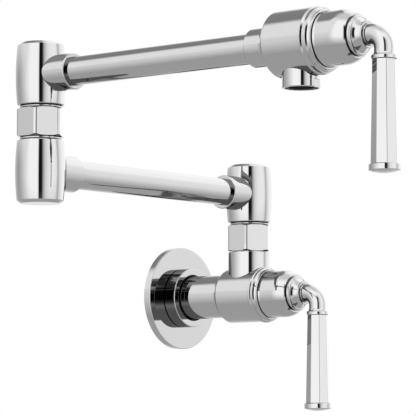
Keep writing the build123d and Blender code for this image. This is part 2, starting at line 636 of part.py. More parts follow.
def barrel_cap():
    """Chamfered cap with a plug that screws into the barrel's open end."""
    return turned(
        (0, BARREL_CAP - CAP_PLUG), (CHAMBER_R - FIT, BARREL_CAP - CAP_PLUG, EDGE),
        (CHAMBER_R - FIT, BARREL_CAP), (BARREL_END_R, BARREL_CAP),
        (BARREL_END_R - CAP_CHAMFER, BARREL_CAP + CAP_H, EDGE), (0, BARREL_CAP + CAP_H))


def swivel_nut():
    """Hexagon nut with its top face at zero and two corners along Y."""
    corners = turned(
        (0, 0), (NUT_END_R, 0), (NUT_R, -NUT_CHAMFER_H), (NUT_R, NUT_CHAMFER_H - NUT_H),
        (NUT_END_R, -NUT_H), (0, -NUT_H))
    prism = Pos(0, 0, -NUT_H) * extrude(RegularPolygon(NUT_R, 6, rotation=30), NUT_H)
    nut = fillet(prism.edges().filter_by(Axis.Z), NUT_ROUND) & corners
    nut -= rod(SPIGOT_R + FIT, -NUT_H - OVERCUT, -NUT_TOP_WALL)
    return nut - rod(POST_HOLE_R, -NUT_H, OVERCUT)


def swivel_post():
    """Hollow post, nut's top at zero: thread above, collar and two seal grooves below."""
    post = turned(
        (POST_BORE_R, -POST_BELOW), (POST_R, -POST_BELOW, EDGE),
        (POST_R, -COLLAR_TOP_DROP - COLLAR_H), (COLLAR_R, -COLLAR_TOP_DROP - COLLAR_H),
        (COLLAR_R, -COLLAR_TOP_DROP), (POST_R, -COLLAR_TOP_DROP), (POST_R, POST_ABOVE, EDGE),
        (POST_BORE_R, POST_ABOVE))
    groove_r = SEAL_MIDDLE_R - SEAL_RING - RUN
    for drop in SEAL_DROPS:
        low = -drop - SEAL_GROOVE / 2
        post -= rod(POST_R + OVERCUT, low, low + SEAL_GROOVE) - rod(groove_r, low, low + SEAL_GROOVE)
    return post


def build_swivel(name, x, y, top):
    """Nut, post, seals and thrust washer of one swivel."""
    place = Pos(x, y, top)
    keep(name + "_swivel_nut", place * swivel_nut())
    keep(name + "_swivel_post", place * swivel_post())
    seals = [seal_ring(SEAL_MIDDLE_R, SEAL_RING, -drop) for drop in SEAL_DROPS]
    keep(name + "_post_seals", place * Compound(children=seals))
    washer = rod(COLLAR_R, -WASHER_TOP - WASHER_T, -WASHER_TOP)
    washer -= rod(POST_R + FIT, -WASHER_TOP - WASHER_T - OVERCUT, OVERCUT)
    keep(name + "_thrust_washer", place * washer)


def arm_tube(length):
    """An arm's tube about Z, from 0 to its length."""
    return rod(TUBE_R, 0, length) - rod(TUBE_R - TUBE_WALL, -OVERCUT, length + OVERCUT)


def build_arms():
    """Barrels, caps and tubes of both arms."""
    upper_bore = POST_R + FIT
    spigot = NUT_H - SPIGOT_DROP
    keep("wall_barrel", Pos(0, PIVOT_Y, LOWER_Z) * Rot(0, 0, 180) * barrel(NECK_H - SEAM, upper_bore, 0))
    keep("wall_barrel_cap", Pos(0, PIVOT_Y, LOWER_Z) * barrel_cap())
    keep("elbow_lower_barrel", Pos(ELBOW_X, PIVOT_Y, LOWER_Z) * Rot(180, 0, 0)
         * barrel(NECK_LOWER_H, POST_HOLE_R, spigot))
    keep("elbow_lower_cap", Pos(ELBOW_X, PIVOT_Y, LOWER_Z) * Rot(180, 0, 0) * barrel_cap())
    keep("elbow_upper_barrel", Pos(ELBOW_X, PIVOT_Y, UPPER_Z) * Rot(0, 0, -90)
         * barrel(NECK_H - SEAM, upper_bore, 0))
    keep("elbow_upper_cap", Pos(ELBOW_X, PIVOT_Y, UPPER_Z) * barrel_cap())

    seat = TUBE_SEAT + TUBE_SHY
    lower_tube = arm_tube(LOWER_ARM - 2 * seat)
    keep("lower_arm_tube", Pos(ELBOW_X + seat, PIVOT_Y, LOWER_Z) * Rot(0, 90, 0) * lower_tube)
    upper_tube = arm_tube(UPPER_ARM - seat + SPOUT.rear_bore_end - TUBE_SHY)
    keep("upper_arm_tube", Pos(ELBOW_X, PIVOT_Y - seat, UPPER_Z) * Rot(90, 0, 0) * upper_tube)


# ------------------------------------------------------------------ outlet
def build_outlet():
    """Flow straightener in the outlet: gasket, shell and perforated plate."""
    place = Pos(SPOUT.x, SPOUT.y, SPOUT.z - OUTLET_DROP)
    shell_r = OUTLET_HOLE_R - FIT
    grid_top = AERATOR_RECESS + AERATOR_GRID_T
    shell_top = AERATOR_RECESS + AERATOR_H
    shell = turned(
        (shell_r - 2 * AERATOR_WALL, AERATOR_RECESS), (shell_r, AERATOR_RECESS, EDGE),
        (shell_r, shell_top), (shell_r - AERATOR_WALL, shell_top),
        (shell_r - AERATOR_WALL, grid_top), (shell_r - 2 * AERATOR_WALL, grid_top))
    keep("outlet_straightener_shell", place * shell)
    plate_r = shell_r - AERATOR_WALL - RUN
    plate = rod(plate_r, grid_top, grid_top + AERATOR_GRID_T)
    plate -= hole_grid(AERATOR_HOLE_R, AERATOR_PITCH, plate_r - AERATOR_WALL,
                       grid_top, grid_top + AERATOR_GRID_T)
    keep("outlet_straightener_plate", place * plate)
    gasket = rod(shell_r, shell_top, shell_top + AERATOR_GASKET_T)
    gasket -= rod(OUTLET_BORE_R, shell_top - OVERCUT, shell_top + AERATOR_GASKET_T + OVERCUT)
    keep("outlet_gasket", place * gasket)


# ------------------------------------------------------------------ the whole object
def build():
    """Builds every piece."""
    build_wall_side()
    keep("wall_valve_body", wall_valve_body())
    keep("spout_valve_body", spout_valve_body())
    for valve, name in ((WALL, "wall"), (SPOUT, "spout")):
        build_valve_trim(valve, name)
        build_cartridge(valve, name)
        build_lever(valve, name + "_lever")
    build_swivel("wall", 0, PIVOT_Y, NUT_TOP)
    build_swivel("elbow", ELBOW_X, PIVOT_Y, ELBOW_NUT_TOP)
    build_arms()
    build_outlet()


build()
os.makedirs("parts", exist_ok=True)
for node, solid in PIECES.items():
    export_step(solid, "parts/" + node + ".step")
print(len(PIECES), "pieces written")
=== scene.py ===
import json
import math
import bpy
import bmesh
from mathutils import Matrix, Vector


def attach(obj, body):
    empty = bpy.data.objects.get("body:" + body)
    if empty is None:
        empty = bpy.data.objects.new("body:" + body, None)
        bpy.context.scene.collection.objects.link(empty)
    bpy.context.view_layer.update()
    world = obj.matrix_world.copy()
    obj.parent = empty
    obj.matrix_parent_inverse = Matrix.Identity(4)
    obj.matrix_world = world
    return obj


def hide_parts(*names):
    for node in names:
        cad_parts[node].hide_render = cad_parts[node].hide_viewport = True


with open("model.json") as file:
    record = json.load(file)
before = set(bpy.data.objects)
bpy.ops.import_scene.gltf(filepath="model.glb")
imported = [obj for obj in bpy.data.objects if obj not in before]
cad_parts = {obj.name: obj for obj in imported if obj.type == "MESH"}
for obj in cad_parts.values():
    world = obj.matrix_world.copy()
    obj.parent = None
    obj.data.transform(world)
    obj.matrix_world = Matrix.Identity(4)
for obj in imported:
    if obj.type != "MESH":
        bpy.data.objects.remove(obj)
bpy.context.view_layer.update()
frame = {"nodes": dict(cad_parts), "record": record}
MM = 0.001

# ---------------------------------------------------------------- main sizes, millimetres
PIVOT_Y = -80.3            # wall swivel's axis, in front of the wall
ELBOW_X = -254.3
SPOUT_Y = -334.5           # middle of the spout valve
LOWER_Z = 85.0             # axis of the lower arm
UPPER_Z = 159.4
WALL_NUT_TOP = 58.8
ELBOW_NUT_TOP = 133.2
LEVER_AXIS = 72.3          # from a valve's middle to its grip's axis

FLANGE_R = 43.6
FLANGE_T = 6.6
FLANGE_BORE_R = 18.35
HUB_R = 25.0
HUB_GROOVE = 0.8           # groove between flange and hub
HUB_END = 18.2
HUB_MOUTH_R = 19.6         # recess for the ring seal round the shank
HUB_MOUTH_FLOOR = 13.2

SHANK_R = 18.25
SHANK_END = 55.0
SPIGOT_R = 15.0            # plug of the shank inside the valve
SPIGOT_END = 64.6
MOUTH_R = 10.0             # inlet thread, at its mean radius
MOUTH_DEPTH = 15.0
MOUTH_CHAMFER = 0.35
WATER_R = 9.0

TRIM_START = 16.2          # front end of the casting, from the valve's middle
COLLAR_R = 17.3            # thin front collar under trim ring and bonnet
COLLAR_END = 29.0
CHAMBER_R = 13.0
CHAMBER_FLOOR = -10.5
SEAT_R = 6.0
SEAT_FLOOR = -13.5
PASSAGE_R = 8.6
CORNER = 0.9               # rounding at the end of a socket

BRANCH_R = 17.9
BRANCH_FOOT = 7.0
BRANCH_TOP = 36.2
STEM_R = 13.2              # stem on the branch, inside the nut
STEM_TOP = 50.45
STEM_BORE_R = 10.55
STEM_BORE_FLOOR = 33.6

OUTLET_R = 13.9
OUTLET_ROOT = -8.0
OUTLET_END = -32.4
OUTLET_HOLE_R = 12.2
OUTLET_HOLE_TOP = -18.4
OUTLET_BORE_R = 8.5
FLAT_TOP = -27.1           # two spanner flats at the outlet's mouth
FLAT_REACH = 13.3
FLAT_HEADING = -88         # degrees

RING_END = 20.9            # trim ring
RING_BORE_R = 17.4
BEAD_SLANT = 1.15          # length of the bead's slanted side for each millimetre of its height
STEP_END = 24.3            # bonnet: step, groove, round and dome
GROOVE_R = 19.0
GROOVE_END = 24.9
LIP_R = 19.9
LIP_END = 26.4
DOME_R = 19.5
DOME_START = 38.5
DOME_TIP_R = 15.7
DOME_TIP = 49.8

HUB_SEAT = 50.05           # lever hub
HUB_RING_R = 14.4
HUB_RING_ROUND = 1.6
HUB_RING_END = 52.9
HUB_NECK_R = 9.3
HUB_NECK_END = 58.2
HUB_NECK_TAPER = 16        # degrees
HUB_BEAD_R = 9.7
HUB_BEAD_END = 59.4
HUB_FOOT_R = 8.0
HUB_FOOT_END = 60.6
STEM_HOLE_R = 4.1          # blind hole for the valve's stem
STEM_HOLE_END = 57.3
NECK_R = 7.1
BEND_START = 61.6
BEND_R = 10.7
TANG_R = 5.0               # tang of the neck inside the grip

GRIP_TOP = -18.6           # along the grip, from the valve's axis
GRIP_END = -91.1
GRIP_TOP_R = 8.55
GRIP_END_R = 10.1
LEVER_COLLAR_R = 9.1
LEVER_COLLAR_TOP = -15.5
END_CAP_R = 11.35
END_CAP_END = -95.9
END_CAP_DOME = 1.6

BARREL_R = 19.75           # at the middle of the bulge
BARREL_SWELL = 1.3
BARREL_LOW = -23.8
BARREL_END_R = 18.45
BARREL_TOP = 22.7
SOCKET_R = 14.0
SOCKET_END = 35.7
CAP_TOP = 25.0
TUBE_R = 11.0
TUBE_BORE_R = 9.4
TUBE_START = 22.1          # from the elbow's axis
LOWER_TUBE_L = 210.1
UPPER_TUBE_L = 205.0

TURN = 192                 # segments round a turned form
EDGE = 0.4                 # softened edge of a polished casting
SHARP = 38.0               # degrees between faces from which an edge is crisp
CHROME = 0.645             # share of light that polished chrome mirrors

# ---------------------------------------------------------------- floor and camera, metres
FLOOR_Z = -0.42
FLOOR_HALF = 4
CAMERA_AT = (-1.648806, -1.420836, -0.11446)
CAMERA_RIGHT = (0.64357, -0.7654, 0.0)
CAMERA_UP = (-0.0676, -0.05684, 0.99611)
CAMERA_BACK = (-0.76241, -0.64105, -0.08832)
LENS = 218.39              # millimetres, on a 36 mm sensor


# ---------------------------------------------------------------- outlines in the (r, z) plane
def arc(middle, across, along, start, sweep, count=10):
    """Points on a quarter or other stretch of an ellipse, both ends included."""
    points = []
    for i in range(count + 1):
        angle = math.radians(start + sweep * i / count)
        points.append((middle[0] + across * math.cos(angle), middle[1] + along * math.sin(angle)))
    return points


def soften(corners, closed=True, count=5):
    """Turns corners (r, z) or (r, z, rounding) into points, with an arc at each rounded corner."""
    points = []
    total = len(corners)
    for i, corner in enumerate(corners):
        here = Vector(corner[:2])
        rounding = corner[2] if len(corner) > 2 else 0.0
        if rounding <= 0 or (not closed and i in (0, total - 1)):
            points.append((here.x, here.y))
            continue
        before = Vector(corners[i - 1][:2]) - here
        after = Vector(corners[(i + 1) % total][:2]) - here
        before.normalize()
        after.normalize()
        half = before.angle(after) / 2
        reach = rounding / math.tan(half)
        first, last = here + before * reach, here + after * reach
        centre = here + (before + after).normalized() * (rounding / math.sin(half))
        spoke, end = first - centre, last - centre
        turn = spoke.angle_signed(end)
        for k in range(count + 1):
            angle = -turn * k / count
            cos, sin = math.cos(angle), math.sin(angle)
            points.append((centre.x + spoke.x * cos - spoke.y * sin,
                           centre.y + spoke.x * sin + spoke.y * cos))
    return points


def bow(first, last, heading=0.0, hollow=False, count=14):
    """A round arc in the (r, z) plane. It starts at a heading, in degrees from +Z towards the axis.

    A hollow arc ends at that heading instead.
    """
    if hollow:
        turned = [(-r, -z) for r, z in (last, first)]
        return [(-r, -z) for r, z in reversed(bow(turned[0], turned[1], heading, count=count))]
    drop, rise = first[0] - last[0], last[1] - first[1]
    bend = 2 * (math.atan2(drop, rise) - math.radians(heading))
    radius = math.hypot(drop, rise) / (2 * math.sin(bend / 2))
    start = math.radians(heading)
    middle = (first[0] - radius * math.cos(start), first[1] - radius * math.sin(start))
    return arc(middle, radius, radius, heading, math.degrees(bend), count)


# ---------------------------------------------------------------- mesh builders
def lathe(points, segments=TURN):
    """A bmesh turned about Z from a closed outline of points (r, z). Points on the axis become poles."""
    bm = bmesh.new()
    rings = []
    for r, z in points:
        if r < 1e-6:
            rings.append([bm.verts.new((0, 0, z))] * segments)
        else:
            rings.append([bm.verts.new((r * math.cos(2 * math.pi * i / segments),
                                        r * math.sin(2 * math.pi * i / segments), z))
                          for i in range(segments)])
    for low, high in list(zip(rings, rings[1:])) + [(rings[-1], rings[0])]:
        for i in range(segments):
            j = (i + 1) % segments
            corners = []
            for vert in (low[i], low[j], high[j], high[i]):
                if vert not in corners:
                    corners.append(vert)
            if len(corners) > 2:
                bm.faces.new(corners)
    bmesh.ops.recalc_face_normals(bm, faces=bm.faces)
    return bm


def loops(rings):
    """A bmesh skinned through a list of rings of points, with its ends closed."""
    bm = bmesh.new()
    made = [[bm.verts.new(p) for p in ring] for ring in rings]
    for low, high in zip(made, made[1:]):
        for i in range(len(low)):
            j = (i + 1) % len(low)
            bm.faces.new((low[i], low[j], high[j], high[i]))
    bm.faces.new(list(reversed(made[0])))
    bm.faces.new(made[-1])
    bmesh.ops.recalc_face_normals(bm, faces=bm.faces)
    return bm


def tube(inner, outer, length):
    """A hollow cylinder about Z."""
    return lathe([(inner, 0), (outer, 0), (outer, length), (inner, length)])


MATERIALS = {}


def piece(name, parts, node, body, finish="polished_chrome", bevel=0.0):
    """Joins (bmesh, matrix) parts into an object that stands for a CAD node and rides on its body."""
    name = name.replace(" ", "-")
    mesh = bpy.data.meshes.new(name)
    whole = bmesh.new()
    for bm, matrix in parts:
        bmesh.ops.transform(bm, matrix=Matrix.Diagonal((MM, MM, MM, 1)) @ matrix, verts=bm.verts)
        part = bpy.data.meshes.new("part")
        bm.to_mesh(part)
        bm.free()
        whole.from_mesh(part)
        bpy.data.meshes.remove(part)
    for face in whole.faces:
        face.smooth = True
    whole.to_mesh(mesh)
    whole.free()
    mesh.set_sharp_from_angle(angle=math.radians(SHARP))
    obj = bpy.data.objects.new(name, mesh)
    bpy.context.scene.collection.objects.link(obj)
    mesh.materials.append(MATERIALS[finish])
    if bevel:
        modifier = obj.modifiers.new("soft edges", "BEVEL")
        modifier.width = bevel * MM
        modifier.segments = 3
        modifier.limit_method = "ANGLE"
        modifier.angle_limit = math.radians(25)
    normals = obj.modifiers.new("normals", "WEIGHTED_NORMAL")
    normals.weight = 100
    normals.keep_sharp = True
    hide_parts(node)
    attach(obj, body)


def at(x, y, z):
    return Matrix.Translation((x, y, z))


def turn(axis, degrees):
    return Matrix.Rotation(math.radians(degrees), 4, axis)


# ---------------------------------------------------------------- materials
class Graph:
    """A small helper that adds shader nodes and wires them."""

    def __init__(self, tree):
        self.tree = tree

    def add(self, kind, **settings):
        node = self.tree.nodes.new(kind)
        for key, value in settings.items():
            setattr(node, key, value)
        return node

    def wire(self, source, target):
        self.tree.links.new(source, target)

    def feed(self, node, index, value):
        if hasattr(value, "is_linked"):
            self.wire(value, node.inputs[index])
        else:
            node.inputs[index].default_value = value

    def math(self, operation, a, b=0.0):
        node = self.add("ShaderNodeMath", operation=operation)
        self.feed(node, 0, a)
        self.feed(node, 1, b)
        return node.outputs[0]

    def spread(self, value, low, high, to_low, to_high, smooth=False):
        node = self.add("ShaderNodeMapRange", interpolation_type="SMOOTHSTEP" if smooth else "LINEAR")
        for index, item in enumerate((value, low, high, to_low, to_high)):
            self.feed(node, index, item)
        return node.outputs[0]

    def mix(self, factor, a, b):
        node = self.add("ShaderNodeMix", data_type="FLOAT")
        for index, value in ((0, factor), (2, a), (3, b)):
            self.feed(node, index, value)
        return node.outputs[0]

    def ramp(self, value, stops):
        """A colour ramp over a value, from (position, grey) or (position, colour) stops."""
        node = self.add("ShaderNodeValToRGB")
        ramp = node.color_ramp
        while len(ramp.elements) > 1:
            ramp.elements.remove(ramp.elements[-1])
        ramp.elements[0].position = stops[0][0]
        for position, _ in stops[1:]:
            ramp.elements.new(position)
        for element, (_, shade) in zip(ramp.elements, stops):
            element.color = (shade, shade, shade, 1) if isinstance(shade, float) else (*shade, 1)
        self.wire(value, node.inputs[0])
        return node.outputs[0]

    def noise(self, vector, scale, detail=3.0, roughness=0.5):
        node = self.add("ShaderNodeTexNoise")
        node.inputs["Scale"].default_value = scale
        node.inputs["Detail"].default_value = detail
        node.inputs["Roughness"].default_value = roughness
        self.wire(vector, node.inputs["Vector"])
        return node.outputs[0]

    def bump(self, height, strength, distance):
        node = self.add("ShaderNodeBump")
        node.inputs["Strength"].default_value = strength
        node.inputs["Distance"].default_value = distance
        self.wire(height, node.inputs["Height"])
        return node.outputs[0]


def material(name, colour, metallic, roughness):
    """A material with its Principled shader, ready for detail. Returns its graph, shader and object space."""
    made = bpy.data.materials.new(name)
    made.use_nodes = True
    graph = Graph(made.node_tree)
    shader = next(n for n in made.node_tree.nodes if n.type == "BSDF_PRINCIPLED")
    shader.inputs["Base Color"].default_value = (*colour, 1)
    shader.inputs["Metallic"].default_value = metallic
    shader.inputs["Roughness"].default_value = roughness
    space = graph.add("ShaderNodeTexCoord").outputs["Object"]
    MATERIALS[name] = made
    return graph, shader, space


def tint(graph, shader, value, dark, light):
    """Colours the shader between two shades by a value."""
    colour = graph.ramp(value, [(0.25, dark), (0.75, light)])
    graph.wire(colour, shader.inputs["Base Color"])


def polished_chrome():
    """Bright plate over polished castings: faint smears in the gloss and the slightest unevenness."""
    graph, shader, space = material("polished_chrome", (CHROME, CHROME, CHROME), 1.0, 0.01)
    smear = graph.noise(space, 38.0, 4.0, 0.6)
    fine = graph.noise(space, 420.0, 2.0)
    both = graph.math("ADD", graph.math("MULTIPLY", smear, 0.7), graph.math("MULTIPLY", fine, 0.3))
    graph.wire(graph.spread(both, 0.35, 0.7, 0.0, 0.018), shader.inputs["Roughness"])
    tint(graph, shader, smear, (CHROME - 0.01, CHROME - 0.01, CHROME - 0.005),
         (CHROME, CHROME, CHROME + 0.005))


def cast_brass():
    """Machined brass with fine turning marks and a little tarnish."""
    graph, shader, space = material("cast_brass", (0.72, 0.53, 0.22), 1.0, 0.28)
    wave = graph.add("ShaderNodeTexWave", wave_type="BANDS", bands_direction="Z")
    wave.inputs["Scale"].default_value = 900.0
    wave.inputs["Distortion"].default_value = 0.6
    graph.wire(space, wave.inputs["Vector"])
    tarnish = graph.noise(space, 90.0, 4.0)
    tint(graph, shader, tarnish, (0.58, 0.41, 0.16), (0.78, 0.59, 0.27))
    graph.wire(graph.spread(tarnish, 0.3, 0.7, 0.2, 0.38), shader.inputs["Roughness"])
    graph.wire(graph.bump(wave.outputs["Fac"], 0.25, 0.0001), shader.inputs["Normal"])


def rubber():
    """Moulded black rubber with a dusty bloom."""
    graph, shader, space = material("rubber", (0.025, 0.025, 0.026), 0.0, 0.6)
    bloom = graph.noise(space, 120.0, 5.0, 0.65)
    tint(graph, shader, bloom, (0.016, 0.016, 0.017), (0.05, 0.05, 0.052))
    graph.wire(graph.spread(bloom, 0.3, 0.7, 0.5, 0.78), shader.inputs["Roughness"])
    graph.wire(graph.bump(graph.noise(space, 1500.0, 2.0), 0.3, 0.0001), shader.inputs["Normal"])


def acetal():
    """Translucent white moulded plastic."""
    graph, shader, space = material("acetal", (0.82, 0.82, 0.8), 0.0, 0.35)
    shader.inputs["Subsurface Weight"].default_value = 0.15
    shader.inputs["Subsurface Radius"].default_value = (0.001, 0.001, 0.001)
    cloud = graph.noise(space, 70.0, 3.0)
    tint(graph, shader, cloud, (0.76, 0.76, 0.74), (0.86, 0.86, 0.84))
    graph.wire(graph.spread(cloud, 0.3, 0.7, 0.28, 0.42), shader.inputs["Roughness"])
    graph.wire(graph.bump(graph.noise(space, 900.0, 2.0), 0.12, 0.0001), shader.inputs["Normal"])


def black_plastic():
    """Moulded black plastic with a fine grain."""
    graph, shader, space = material("black_plastic", (0.012, 0.012, 0.012), 0.0, 0.45)
    grain = graph.noise(space, 300.0, 4.0, 0.6)
    tint(graph, shader, grain, (0.008, 0.008, 0.008), (0.018, 0.018, 0.018))
    graph.wire(graph.spread(grain, 0.3, 0.7, 0.38, 0.55), shader.inputs["Roughness"])
    graph.wire(graph.bump(graph.noise(space, 1800.0, 2.0), 0.15, 0.0001), shader.inputs["Normal"])


def ceramic():
    """Lapped ceramic, ivory white and very even."""
    graph, shader, space = material("ceramic", (0.86, 0.84, 0.78), 0.0, 0.18)
    grain = graph.noise(space, 600.0, 3.0)
    tint(graph, shader, grain, (0.8, 0.78, 0.72), (0.9, 0.88, 0.82))
    graph.wire(graph.spread(grain, 0.3, 0.7, 0.14, 0.26), shader.inputs["Roughness"])


def stainless_steel():
    """Drawn stainless steel with short brushing marks."""
    graph, shader, space = material("stainless_steel", (0.58, 0.58, 0.58), 1.0, 0.25)
    stretch = graph.add("ShaderNodeMapping")
    stretch.inputs["Scale"].default_value = (1.0, 1.0, 14.0)
    graph.wire(space, stretch.inputs["Vector"])
    marks = graph.noise(stretch.outputs[0], 500.0, 4.0)
    tint(graph, shader, marks, (0.46, 0.46, 0.47), (0.66, 0.66, 0.66))
    graph.wire(graph.spread(marks, 0.3, 0.7, 0.16, 0.36), shader.inputs["Roughness"])
    graph.wire(graph.bump(marks, 0.1, 0.0001), shader.inputs["Normal"])


for make in (polished_chrome, cast_brass, rubber, acetal, black_plastic, ceramic, stainless_steel):
    make()

# every CAD node starts with its own finish; the visible castings are replaced below
for entry in frame["record"]["subparts"]:
    node = frame["nodes"][entry["node"]]
    if not node.data.materials:
        node.data.materials.append(None)
    for slot in node.material_slots:
        slot.link = "OBJECT"
        slot.material = MATERIALS[entry["material_slot"]]


# ---------------------------------------------------------------- wall side
FACING = turn("X", 90)     # turned forms about Z now point away from the wall

flange = lathe(soften([
    (FLANGE_BORE_R, 0), (FLANGE_R, 0, 0.3), (FLANGE_R, FLANGE_T, 0.6), (HUB_R - HUB_GROOVE, FLANGE_T),
    (HUB_R - HUB_GROOVE, FLANGE_T + HUB_GROOVE), (HUB_R, FLANGE_T + HUB_GROOVE), (HUB_R, HUB_END, 0.6),
    (HUB_MOUTH_R, HUB_END, EDGE), (HUB_MOUTH_R, HUB_MOUTH_FLOOR), (FLANGE_BORE_R, HUB_MOUTH_FLOOR)],
    count=8), segments=288)
piece("flange", [(flange, FACING)], "wall_flange", "wall_valve")

# the inlet's thread: a ridge with sloping sides that winds into the mouth and fades at both ends
PITCH, CREST, TURNS, STEPS = 1.814, 0.62, 7.4, 64
THREAD_START, FOOT_HALF, CREST_HALF, SUNK = 0.9, 0.62, 0.12, 0.05
thread = []
for i in range(int(TURNS * STEPS) + 1):
    angle = 2 * math.pi * i / STEPS
    depth = THREAD_START + PITCH * i / STEPS
    fade = min(1.0, i / (STEPS / 2), (TURNS * STEPS - i) / (STEPS / 2))
    foot_r, crest_r = MOUTH_R + SUNK, MOUTH_R - CREST * fade
    thread.append([(r * math.cos(angle), r * math.sin(angle), depth + z) for r, z in (
        (foot_r, -FOOT_HALF), (crest_r, -CREST_HALF), (crest_r, CREST_HALF), (foot_r, FOOT_HALF))])
shank = lathe(soften([
    (MOUTH_R, MOUTH_CHAMFER), (MOUTH_R + MOUTH_CHAMFER, 0), (SHANK_R, 0, EDGE), (SHANK_R, SHANK_END),
    (SPIGOT_R, SHANK_END), (SPIGOT_R, SPIGOT_END, EDGE), (WATER_R, SPIGOT_END), (WATER_R, MOUTH_DEPTH),
    (MOUTH_R, MOUTH_DEPTH)]))
piece("shank", [(shank, FACING), (loops(thread), FACING)], "inlet_shank", "wall_valve")


def valve_body(name, node, body, place, body_r, shoulder, rim, rear_r, rear, cove, bore, bore_end, more):
    """The casting of a valve: socket, hollow shoulder, full body and front spigot, hollow inside."""
    land = body_r - rim - 0.1
    plane = shoulder - rim
    points = [(PASSAGE_R, bore_end), (bore, bore_end), (bore, rear)]
    if cove > rear:
        points += arc((rear_r - CORNER, rear + CORNER), CORNER, CORNER, -90, 90, 8)
    else:
        points.append((rear_r, rear))
    points += list(reversed(arc((land, cove), land - rear_r, plane - cove, 90, 90, 20)))
    points += arc((body_r - rim, shoulder), rim, rim, -90, 90, 10)
    points += [(body_r, TRIM_START), (COLLAR_R, TRIM_START), (COLLAR_R, COLLAR_END),
               (CHAMBER_R, COLLAR_END), (CHAMBER_R, CHAMBER_FLOOR), (SEAT_R, CHAMBER_FLOOR),
               (SEAT_R, SEAT_FLOOR), (PASSAGE_R, SEAT_FLOOR)]
    piece(name, [(lathe(points), place @ FACING)] + more, node, body)


wall_place = at(0, PIVOT_Y, 0)
branch = lathe(soften([
    (WATER_R, BRANCH_FOOT), (BRANCH_R, BRANCH_FOOT), (BRANCH_R, BRANCH_TOP, EDGE), (STEM_R, BRANCH_TOP),
    (STEM_R, STEM_TOP, EDGE), (STEM_BORE_R, STEM_TOP), (STEM_BORE_R, STEM_BORE_FLOOR),
    (WATER_R, STEM_BORE_FLOOR)]))
valve_body("wall valve body", "wall_valve_body", "wall_valve", wall_place, body_r=22.8, shoulder=-18.2,
           rim=2.1, rear_r=SHANK_R, rear=-25.3, cove=-25.3, bore=15.1, bore_end=-15.6,
           more=[(branch, wall_place)])

spout_place = at(ELBOW_X, SPOUT_Y, UPPER_Z)
outlet = lathe(soften([
    (OUTLET_BORE_R, OUTLET_ROOT), (OUTLET_BORE_R, OUTLET_HOLE_TOP), (OUTLET_HOLE_R, OUTLET_HOLE_TOP),
    (OUTLET_HOLE_R, OUTLET_END, 0.2), (OUTLET_R, OUTLET_END, 0.5), (OUTLET_R, FLAT_TOP),
    (OUTLET_R, FLAT_TOP + 0.05), (OUTLET_R, OUTLET_ROOT)]))
heading = math.radians(FLAT_HEADING)
across = Vector((math.cos(heading), math.sin(heading), 0))
for vert in outlet.verts:
    reach = vert.co.dot(across)
    if vert.co.z < FLAT_TOP + 0.02 and abs(reach) > FLAT_REACH:
        vert.co -= across * (reach - math.copysign(FLAT_REACH, reach))
valve_body("spout valve body", "spout_valve_body", "upper_arm", spout_place, body_r=24.0, shoulder=-17.0,
           rim=2.5, rear_r=14.0, rear=-42.3, cove=-28.9, bore=11.1, bore_end=-27.0,
           more=[(outlet, spout_place)])


def valve_trim(name, prefix, body, place, bead_r, bead_end, ring_r):
    """Trim ring with its slanted bead, and the stepped, domed bonnet."""
    slant_start = bead_end - BEAD_SLANT * (bead_r - ring_r)
    ring = lathe(soften([
        (RING_BORE_R, TRIM_START), (bead_r, TRIM_START, EDGE), (bead_r, slant_start, EDGE),
        (ring_r, bead_end, EDGE), (ring_r, RING_END, EDGE), (RING_BORE_R, RING_END)], count=6))
    piece(name + " trim ring", [(ring, place @ FACING)], prefix + "_trim_ring", body)
    base_r, step_r = ring_r - 0.5, ring_r - 1.8
    points = soften([
        (RING_BORE_R, RING_END), (base_r, RING_END), (base_r - 0.85, RING_END + 0.9775, 0.8),
        (step_r, RING_END + 2.1, 0.8), (step_r, STEP_END, step_r - 20.65), (GROOVE_R, STEP_END),
        (GROOVE_R, GROOVE_END), (LIP_R, GROOVE_END), (DOME_R, LIP_END, 0.8), (DOME_R, DOME_START)],
        closed=False, count=6)[:-1]
    points += bow((DOME_R, DOME_START), (DOME_TIP_R, DOME_TIP), count=40)
    # inside: the hole for the stem and the room round the cartridge
    points += [(8.1, DOME_TIP), (8.1, 46.6), (12.0, 46.6), (16.6, 41.0), (16.6, 29.1), (RING_BORE_R, 29.1)]
    piece(name + " bonnet", [(lathe(points), place @ FACING)], prefix + "_bonnet", body)


valve_trim("wall", "wall", "wall_valve", wall_place, bead_r=23.4, bead_end=19.0, ring_r=22.7)
valve_trim("spout", "spout", "upper_arm", spout_place, bead_r=24.5, bead_end=18.25, ring_r=23.4)


